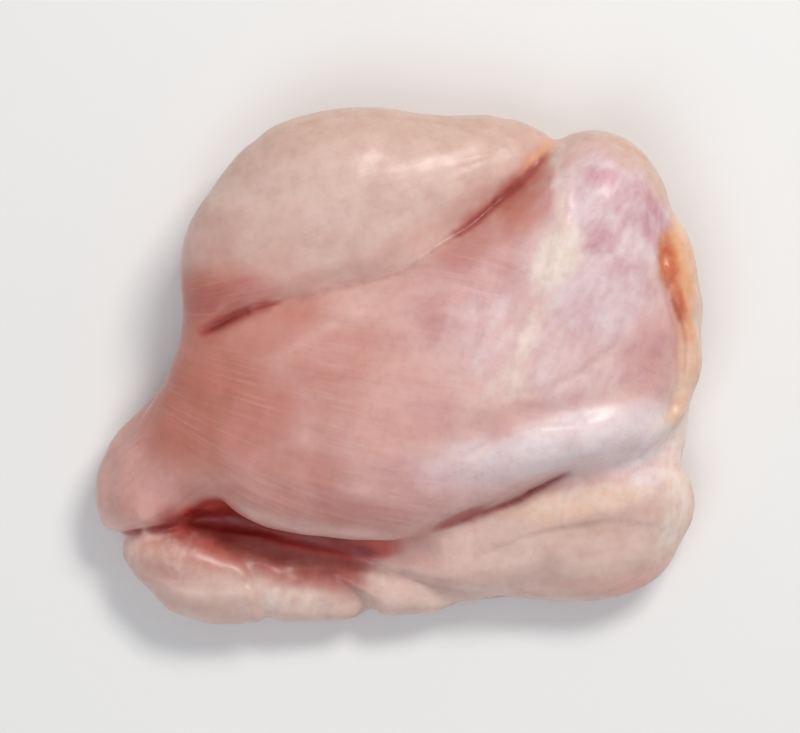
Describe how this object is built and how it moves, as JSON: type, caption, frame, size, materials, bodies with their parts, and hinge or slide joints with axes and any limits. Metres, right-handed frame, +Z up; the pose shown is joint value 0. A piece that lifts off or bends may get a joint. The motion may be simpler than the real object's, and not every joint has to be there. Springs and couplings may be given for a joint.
{
  "type": "raw chicken thigh",
  "caption": "Raw boneless, skinless chicken thigh, folded with its smooth side up, with plump pink muscles, deep creases, silvery membrane and a pale edge of fat.",
  "frame": {"origin": "middle of the piece's box in X and Y, on its flat underside", "axes": "+X along the thigh towards its fatty end, +Y towards the small upper muscle, +Z up out of the smooth side"},
  "size_m": [0.1074, 0.0914, 0.0278],
  "materials": {
    "meat": "wet, soft and slightly translucent raw meat"
  },
  "bodies": {
    "root": {"thigh": "meat"}
  },
  "joints": []
}
